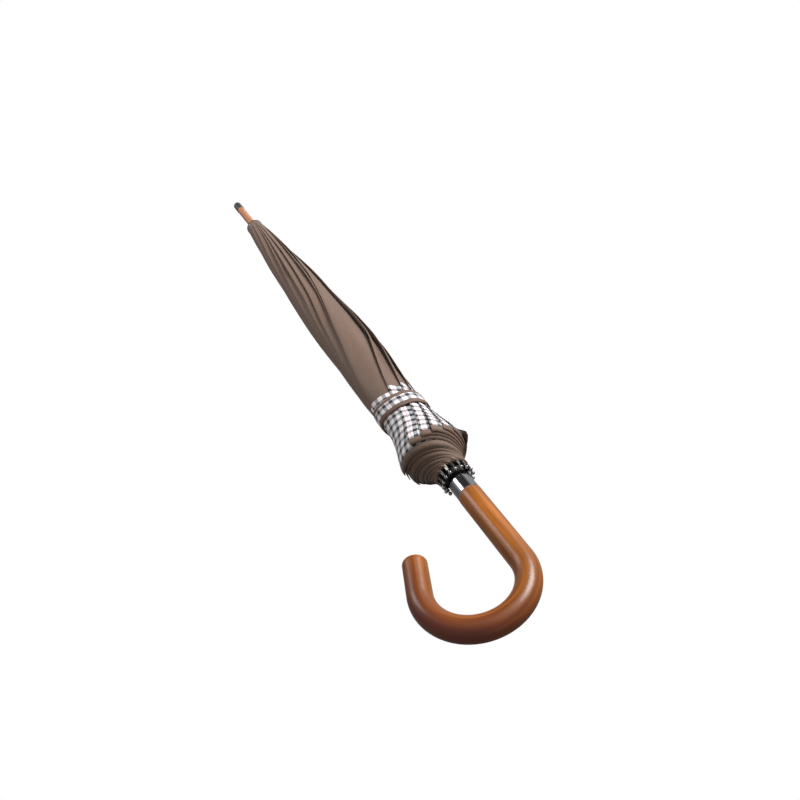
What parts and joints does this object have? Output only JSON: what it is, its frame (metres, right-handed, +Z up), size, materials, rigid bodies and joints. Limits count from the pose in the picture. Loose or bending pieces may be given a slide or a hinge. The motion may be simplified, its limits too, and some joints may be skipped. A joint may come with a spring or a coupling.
{
  "type": "stick umbrella",
  "caption": "Stick umbrella, rolled and strapped, with a varnished crook handle, pleated brown cover, gingham border and ball-tipped ribs.",
  "frame": {"origin": "centre of the straight grip, on the shaft's axis, where a hand or a clamp holds it", "axes": "+X along the shaft towards the tip, +Y the side the crook bends to, +Z up, square to the crook's plane"},
  "size_m": [0.9039, 0.1497, 0.077],
  "materials": {
    "handle_wood": "gloss varnish",
    "shaft_wood": "satin varnish",
    "collar_metal": "polished gunmetal",
    "tip_metal": "dark satin",
    "steel": "plated",
    "black_trim": "satin moulded",
    "frame_metal": "dark plated",
    "cloth": "woven taffeta"
  },
  "bodies": {
    "shaft": {"crook_handle": "handle_wood", "handle_collar": "collar_metal", "shaft": "shaft_wood", "ferrule": "tip_metal", "crown_notch": "steel", "crown_cap": "black_trim", "shaft_pins": "steel"},
    "runner": {"runner": "black_trim"},
    "bottom_catch": {"bottom_catch": "steel"},
    "top_catch": {"top_catch": "steel"},
    "strap": {"strap_tab": "cloth"},
    "rib_01": {"rib_01": "frame_metal"},
    "stretcher_01": {"stretcher_01": "frame_metal"},
    "panel_01": {"canopy_panel_01": "cloth"},
    "rib_02": {"rib_02": "frame_metal"},
    "stretcher_02": {"stretcher_02": "frame_metal"},
    "panel_02": {"canopy_panel_02": "cloth"},
    "rib_03": {"rib_03": "frame_metal"},
    "stretcher_03": {"stretcher_03": "frame_metal"},
    "panel_03": {"canopy_panel_03": "cloth"},
    "rib_04": {"rib_04": "frame_metal", "tie_strap": "cloth"},
    "stretcher_04": {"stretcher_04": "frame_metal"},
    "panel_04": {"canopy_panel_04": "cloth"},
    "rib_05": {"rib_05": "frame_metal"},
    "stretcher_05": {"stretcher_05": "frame_metal"},
    "panel_05": {"canopy_panel_05": "cloth"},
    "rib_06": {"rib_06": "frame_metal"},
    "stretcher_06": {"stretcher_06": "frame_metal"},
    "panel_06": {"canopy_panel_06": "cloth"},
    "rib_07": {"rib_07": "frame_metal"},
    "stretcher_07": {"stretcher_07": "frame_metal"},
    "panel_07": {"canopy_panel_07": "cloth"},
    "rib_08": {"rib_08": "frame_metal"},
    "stretcher_08": {"stretcher_08": "frame_metal"},
    "panel_08": {"canopy_panel_08": "cloth"},
    "rib_09": {"rib_09": "frame_metal"},
    "stretcher_09": {"stretcher_09": "frame_metal"},
    "panel_09": {"canopy_panel_09": "cloth"},
    "rib_10": {"rib_10": "frame_metal"},
    "stretcher_10": {"stretcher_10": "frame_metal"},
    "panel_10": {"canopy_panel_10": "cloth"},
    "rib_11": {"rib_11": "frame_metal"},
    "stretcher_11": {"stretcher_11": "frame_metal"},
    "panel_11": {"canopy_panel_11": "cloth"},
    "rib_12": {"rib_12": "frame_metal"},
    "stretcher_12": {"stretcher_12": "frame_metal"},
    "panel_12": {"canopy_panel_12": "cloth"},
    "rib_13": {"rib_13": "frame_metal"},
    "stretcher_13": {"stretcher_13": "frame_metal"},
    "panel_13": {"canopy_panel_13": "cloth"},
    "rib_14": {"rib_14": "frame_metal"},
    "stretcher_14": {"stretcher_14": "frame_metal"},
    "panel_14": {"canopy_panel_14": "cloth"},
    "rib_15": {"rib_15": "frame_metal"},
    "stretcher_15": {"stretcher_15": "frame_metal"},
    "panel_15": {"canopy_panel_15": "cloth"},
    "rib_16": {"rib_16": "frame_metal"},
    "stretcher_16": {"stretcher_16": "frame_metal"},
    "panel_16": {"canopy_panel_16": "cloth"}
  },
  "joints": [
    {"name": "canopy_open", "type": "hinge", "parent": "shaft", "child": "rib_01", "pos_m": [0.701, 0.009, 0], "axis": [0, 0, -1], "range_deg": [0, 65], "deforming": ["canopy_panel_01", "canopy_panel_02", "canopy_panel_03", "canopy_panel_04", "canopy_panel_05", "canopy_panel_06", "canopy_panel_07", "canopy_panel_08", "canopy_panel_09", "canopy_panel_10", "canopy_panel_11", "canopy_panel_12", "canopy_panel_13", "canopy_panel_14", "canopy_panel_15", "canopy_panel_16", "tie_strap", "strap_tab", "bottom_catch", "top_catch"]},
    {"name": "rib_02_hinge", "type": "hinge", "parent": "shaft", "child": "rib_02", "pos_m": [0.701, 0.00831, 0.00344], "axis": [0, 0.3827, -0.9239], "range_deg": [0, 65]},
    {"name": "rib_03_hinge", "type": "hinge", "parent": "shaft", "child": "rib_03", "pos_m": [0.701, 0.00636, 0.00636], "axis": [0, 0.7071, -0.7071], "range_deg": [0, 65]},
    {"name": "rib_04_hinge", "type": "hinge", "parent": "shaft", "child": "rib_04", "pos_m": [0.701, 0.00344, 0.00831], "axis": [0, 0.9239, -0.3827], "range_deg": [0, 65]},
    {"name": "rib_05_hinge", "type": "hinge", "parent": "shaft", "child": "rib_05", "pos_m": [0.701, 0, 0.009], "axis": [0, 1, 0], "range_deg": [0, 65]},
    {"name": "rib_06_hinge", "type": "hinge", "parent": "shaft", "child": "rib_06", "pos_m": [0.701, -0.00344, 0.00831], "axis": [0, 0.9239, 0.3827], "range_deg": [0, 65]},
    {"name": "rib_07_hinge", "type": "hinge", "parent": "shaft", "child": "rib_07", "pos_m": [0.701, -0.00636, 0.00636], "axis": [0, 0.7071, 0.7071], "range_deg": [0, 65]},
    {"name": "rib_08_hinge", "type": "hinge", "parent": "shaft", "child": "rib_08", "pos_m": [0.701, -0.00831, 0.00344], "axis": [0, 0.3827, 0.9239], "range_deg": [0, 65]},
    {"name": "rib_09_hinge", "type": "hinge", "parent": "shaft", "child": "rib_09", "pos_m": [0.701, -0.009, 0], "axis": [0, 0, 1], "range_deg": [0, 65]},
    {"name": "rib_10_hinge", "type": "hinge", "parent": "shaft", "child": "rib_10", "pos_m": [0.701, -0.00831, -0.00344], "axis": [0, -0.3827, 0.9239], "range_deg": [0, 65]},
    {"name": "rib_11_hinge", "type": "hinge", "parent": "shaft", "child": "rib_11", "pos_m": [0.701, -0.00636, -0.00636], "axis": [0, -0.7071, 0.7071], "range_deg": [0, 65]},
    {"name": "rib_12_hinge", "type": "hinge", "parent": "shaft", "child": "rib_12", "pos_m": [0.701, -0.00344, -0.00831], "axis": [0, -0.9239, 0.3827], "range_deg": [0, 65]},
    {"name": "rib_13_hinge", "type": "hinge", "parent": "shaft", "child": "rib_13", "pos_m": [0.701, 0, -0.009], "axis": [0, -1, 0], "range_deg": [0, 65]},
    {"name": "rib_14_hinge", "type": "hinge", "parent": "shaft", "child": "rib_14", "pos_m": [0.701, 0.00344, -0.00831], "axis": [0, -0.9239, -0.3827], "range_deg": [0, 65]},
    {"name": "rib_15_hinge", "type": "hinge", "parent": "shaft", "child": "rib_15", "pos_m": [0.701, 0.00636, -0.00636], "axis": [0, -0.7071, -0.7071], "range_deg": [0, 65]},
    {"name": "rib_16_hinge", "type": "hinge", "parent": "shaft", "child": "rib_16", "pos_m": [0.701, 0.00831, -0.00344], "axis": [0, -0.3827, -0.9239], "range_deg": [0, 65]},
    {"name": "stretcher_01_hinge", "type": "hinge", "parent": "rib_01", "child": "stretcher_01", "pos_m": [0.40475, 0.009, 0], "axis": [0, 0, 1], "range_deg": [0, 130]},
    {"name": "stretcher_02_hinge", "type": "hinge", "parent": "rib_02", "child": "stretcher_02", "pos_m": [0.40475, 0.00831, 0.00344], "axis": [0, -0.3827, 0.9239], "range_deg": [0, 130]},
    {"name": "stretcher_03_hinge", "type": "hinge", "parent": "rib_03", "child": "stretcher_03", "pos_m": [0.40475, 0.00636, 0.00636], "axis": [0, -0.7071, 0.7071], "range_deg": [0, 130]},
    {"name": "stretcher_04_hinge", "type": "hinge", "parent": "rib_04", "child": "stretcher_04", "pos_m": [0.40475, 0.00344, 0.00831], "axis": [0, -0.9239, 0.3827], "range_deg": [0, 130]},
    {"name": "stretcher_05_hinge", "type": "hinge", "parent": "rib_05", "child": "stretcher_05", "pos_m": [0.40475, 0, 0.009], "axis": [0, -1, 0], "range_deg": [0, 130]},
    {"name": "stretcher_06_hinge", "type": "hinge", "parent": "rib_06", "child": "stretcher_06", "pos_m": [0.40475, -0.00344, 0.00831], "axis": [0, -0.9239, -0.3827], "range_deg": [0, 130]},
    {"name": "stretcher_07_hinge", "type": "hinge", "parent": "rib_07", "child": "stretcher_07", "pos_m": [0.40475, -0.00636, 0.00636], "axis": [0, -0.7071, -0.7071], "range_deg": [0, 130]},
    {"name": "stretcher_08_hinge", "type": "hinge", "parent": "rib_08", "child": "stretcher_08", "pos_m": [0.40475, -0.00831, 0.00344], "axis": [0, -0.3827, -0.9239], "range_deg": [0, 130]},
    {"name": "stretcher_09_hinge", "type": "hinge", "parent": "rib_09", "child": "stretcher_09", "pos_m": [0.40475, -0.009, 0], "axis": [0, 0, -1], "range_deg": [0, 130]},
    {"name": "stretcher_10_hinge", "type": "hinge", "parent": "rib_10", "child": "stretcher_10", "pos_m": [0.40475, -0.00831, -0.00344], "axis": [0, 0.3827, -0.9239], "range_deg": [0, 130]},
    {"name": "stretcher_11_hinge", "type": "hinge", "parent": "rib_11", "child": "stretcher_11", "pos_m": [0.40475, -0.00636, -0.00636], "axis": [0, 0.7071, -0.7071], "range_deg": [0, 130]},
    {"name": "stretcher_12_hinge", "type": "hinge", "parent": "rib_12", "child": "stretcher_12", "pos_m": [0.40475, -0.00344, -0.00831], "axis": [0, 0.9239, -0.3827], "range_deg": [0, 130]},
    {"name": "stretcher_13_hinge", "type": "hinge", "parent": "rib_13", "child": "stretcher_13", "pos_m": [0.40475, 0, -0.009], "axis": [0, 1, 0], "range_deg": [0, 130]},
    {"name": "stretcher_14_hinge", "type": "hinge", "parent": "rib_14", "child": "stretcher_14", "pos_m": [0.40475, 0.00344, -0.00831], "axis": [0, 0.9239, 0.3827], "range_deg": [0, 130]},
    {"name": "stretcher_15_hinge", "type": "hinge", "parent": "rib_15", "child": "stretcher_15", "pos_m": [0.40475, 0.00636, -0.00636], "axis": [0, 0.7071, 0.7071], "range_deg": [0, 130]},
    {"name": "stretcher_16_hinge", "type": "hinge", "parent": "rib_16", "child": "stretcher_16", "pos_m": [0.40475, 0.00831, -0.00344], "axis": [0, 0.3827, 0.9239], "range_deg": [0, 130]},
    {"name": "runner_slide", "type": "hinge", "parent": "stretcher_01", "child": "runner", "pos_m": [0.1085, 0.009, 0], "axis": [0, 0, -1], "range_deg": [0, 65]},
    {"name": "panel_01_spread", "type": "hinge", "parent": "rib_01", "child": "panel_01", "pos_m": [0.70131, 0.00851, 0.00344], "axis": [0.9637, 0.215, -0.1583], "range_deg": [0, 80]},
    {"name": "panel_02_spread", "type": "hinge", "parent": "rib_02", "child": "panel_02", "pos_m": [0.70131, 0.00655, 0.00644], "axis": [0.9637, 0.2592, -0.064], "range_deg": [0, 80]},
    {"name": "panel_03_spread", "type": "hinge", "parent": "rib_03", "child": "panel_03", "pos_m": [0.70131, 0.00358, 0.00845], "axis": [0.9637, 0.2639, 0.0401], "range_deg": [0, 80]},
    {"name": "panel_04_spread", "type": "hinge", "parent": "rib_04", "child": "panel_04", "pos_m": [0.70131, 0.00008, 0.00918], "axis": [0.9637, 0.2285, 0.1381], "range_deg": [0, 80]},
    {"name": "panel_05_spread", "type": "hinge", "parent": "rib_05", "child": "panel_05", "pos_m": [0.70131, -0.00344, 0.00851], "axis": [0.9637, 0.1583, 0.215], "range_deg": [0, 80]},
    {"name": "panel_06_spread", "type": "hinge", "parent": "rib_06", "child": "panel_06", "pos_m": [0.70131, -0.00644, 0.00655], "axis": [0.9637, 0.064, 0.2592], "range_deg": [0, 80]},
    {"name": "panel_07_spread", "type": "hinge", "parent": "rib_07", "child": "panel_07", "pos_m": [0.70131, -0.00845, 0.00358], "axis": [0.9637, -0.0401, 0.2639], "range_deg": [0, 80]},
    {"name": "panel_08_spread", "type": "hinge", "parent": "rib_08", "child": "panel_08", "pos_m": [0.70131, -0.00918, 0.00008], "axis": [0.9637, -0.1381, 0.2285], "range_deg": [0, 80]},
    {"name": "panel_09_spread", "type": "hinge", "parent": "rib_09", "child": "panel_09", "pos_m": [0.70131, -0.00851, -0.00344], "axis": [0.9637, -0.215, 0.1583], "range_deg": [0, 80]},
    {"name": "panel_10_spread", "type": "hinge", "parent": "rib_10", "child": "panel_10", "pos_m": [0.70131, -0.00655, -0.00644], "axis": [0.9637, -0.2592, 0.064], "range_deg": [0, 80]},
    {"name": "panel_11_spread", "type": "hinge", "parent": "rib_11", "child": "panel_11", "pos_m": [0.70131, -0.00358, -0.00845], "axis": [0.9637, -0.2639, -0.0401], "range_deg": [0, 80]},
    {"name": "panel_12_spread", "type": "hinge", "parent": "rib_12", "child": "panel_12", "pos_m": [0.70131, -0.00008, -0.00918], "axis": [0.9637, -0.2285, -0.1381], "range_deg": [0, 80]},
    {"name": "panel_13_spread", "type": "hinge", "parent": "rib_13", "child": "panel_13", "pos_m": [0.70131, 0.00344, -0.00851], "axis": [0.9637, -0.1583, -0.215], "range_deg": [0, 80]},
    {"name": "panel_14_spread", "type": "hinge", "parent": "rib_14", "child": "panel_14", "pos_m": [0.70131, 0.00644, -0.00655], "axis": [0.9637, -0.064, -0.2592], "range_deg": [0, 80]},
    {"name": "panel_15_spread", "type": "hinge", "parent": "rib_15", "child": "panel_15", "pos_m": [0.70131, 0.00845, -0.00358], "axis": [0.9637, 0.0401, -0.2639], "range_deg": [0, 80]},
    {"name": "panel_16_spread", "type": "hinge", "parent": "rib_16", "child": "panel_16", "pos_m": [0.70131, 0.00918, -0.00008], "axis": [0.9637, 0.1381, -0.2285], "range_deg": [0, 80]},
    {"name": "bottom_catch_press", "type": "hinge", "parent": "shaft", "child": "bottom_catch", "pos_m": [0.1666, 0, 0.003], "axis": [0, -1, 0], "range_deg": [0, 3], "stiffness_Nm_per_rad": 0.5},
    {"name": "top_catch_press", "type": "hinge", "parent": "shaft", "child": "top_catch", "pos_m": [0.384, 0, 0.003], "axis": [0, 1, 0], "range_deg": [0, 3], "stiffness_Nm_per_rad": 0.5},
    {"name": "strap_release", "type": "hinge", "parent": "rib_04", "child": "strap", "pos_m": [0.1915, 0.02547, -0.00927], "axis": [1, 0, 0], "range_deg": [0, 100]}
  ],
  "couplings": [
    {"joint": "stretcher_01_hinge", "follows": "canopy_open", "ratio": 2},
    {"joint": "stretcher_02_hinge", "follows": "canopy_open", "ratio": 2},
    {"joint": "rib_02_hinge", "follows": "canopy_open", "ratio": 1},
    {"joint": "stretcher_03_hinge", "follows": "canopy_open", "ratio": 2},
    {"joint": "rib_03_hinge", "follows": "canopy_open", "ratio": 1},
    {"joint": "stretcher_04_hinge", "follows": "canopy_open", "ratio": 2},
    {"joint": "rib_04_hinge", "follows": "canopy_open", "ratio": 1},
    {"joint": "stretcher_05_hinge", "follows": "canopy_open", "ratio": 2},
    {"joint": "rib_05_hinge", "follows": "canopy_open", "ratio": 1},
    {"joint": "stretcher_06_hinge", "follows": "canopy_open", "ratio": 2},
    {"joint": "rib_06_hinge", "follows": "canopy_open", "ratio": 1},
    {"joint": "stretcher_07_hinge", "follows": "canopy_open", "ratio": 2},
    {"joint": "rib_07_hinge", "follows": "canopy_open", "ratio": 1},
    {"joint": "stretcher_08_hinge", "follows": "canopy_open", "ratio": 2},
    {"joint": "rib_08_hinge", "follows": "canopy_open", "ratio": 1},
    {"joint": "stretcher_09_hinge", "follows": "canopy_open", "ratio": 2},
    {"joint": "rib_09_hinge", "follows": "canopy_open", "ratio": 1},
    {"joint": "stretcher_10_hinge", "follows": "canopy_open", "ratio": 2},
    {"joint": "rib_10_hinge", "follows": "canopy_open", "ratio": 1},
    {"joint": "stretcher_11_hinge", "follows": "canopy_open", "ratio": 2},
    {"joint": "rib_11_hinge", "follows": "canopy_open", "ratio": 1},
    {"joint": "stretcher_12_hinge", "follows": "canopy_open", "ratio": 2},
    {"joint": "rib_12_hinge", "follows": "canopy_open", "ratio": 1},
    {"joint": "stretcher_13_hinge", "follows": "canopy_open", "ratio": 2},
    {"joint": "rib_13_hinge", "follows": "canopy_open", "ratio": 1},
    {"joint": "stretcher_14_hinge", "follows": "canopy_open", "ratio": 2},
    {"joint": "rib_14_hinge", "follows": "canopy_open", "ratio": 1},
    {"joint": "stretcher_15_hinge", "follows": "canopy_open", "ratio": 2},
    {"joint": "rib_15_hinge", "follows": "canopy_open", "ratio": 1},
    {"joint": "stretcher_16_hinge", "follows": "canopy_open", "ratio": 2},
    {"joint": "rib_16_hinge", "follows": "canopy_open", "ratio": 1},
    {"joint": "runner_slide", "follows": "canopy_open", "ratio": 1},
    {"joint": "panel_01_spread", "follows": "canopy_open", "ratio": 1.2308},
    {"joint": "panel_02_spread", "follows": "canopy_open", "ratio": 1.2308},
    {"joint": "panel_03_spread", "follows": "canopy_open", "ratio": 1.2308},
    {"joint": "panel_04_spread", "follows": "canopy_open", "ratio": 1.2308},
    {"joint": "panel_05_spread", "follows": "canopy_open", "ratio": 1.2308},
    {"joint": "panel_06_spread", "follows": "canopy_open", "ratio": 1.2308},
    {"joint": "panel_07_spread", "follows": "canopy_open", "ratio": 1.2308},
    {"joint": "panel_08_spread", "follows": "canopy_open", "ratio": 1.2308},
    {"joint": "panel_09_spread", "follows": "canopy_open", "ratio": 1.2308},
    {"joint": "panel_10_spread", "follows": "canopy_open", "ratio": 1.2308},
    {"joint": "panel_11_spread", "follows": "canopy_open", "ratio": 1.2308},
    {"joint": "panel_12_spread", "follows": "canopy_open", "ratio": 1.2308},
    {"joint": "panel_13_spread", "follows": "canopy_open", "ratio": 1.2308},
    {"joint": "panel_14_spread", "follows": "canopy_open", "ratio": 1.2308},
    {"joint": "panel_15_spread", "follows": "canopy_open", "ratio": 1.2308},
    {"joint": "panel_16_spread", "follows": "canopy_open", "ratio": 1.2308}
  ]
}
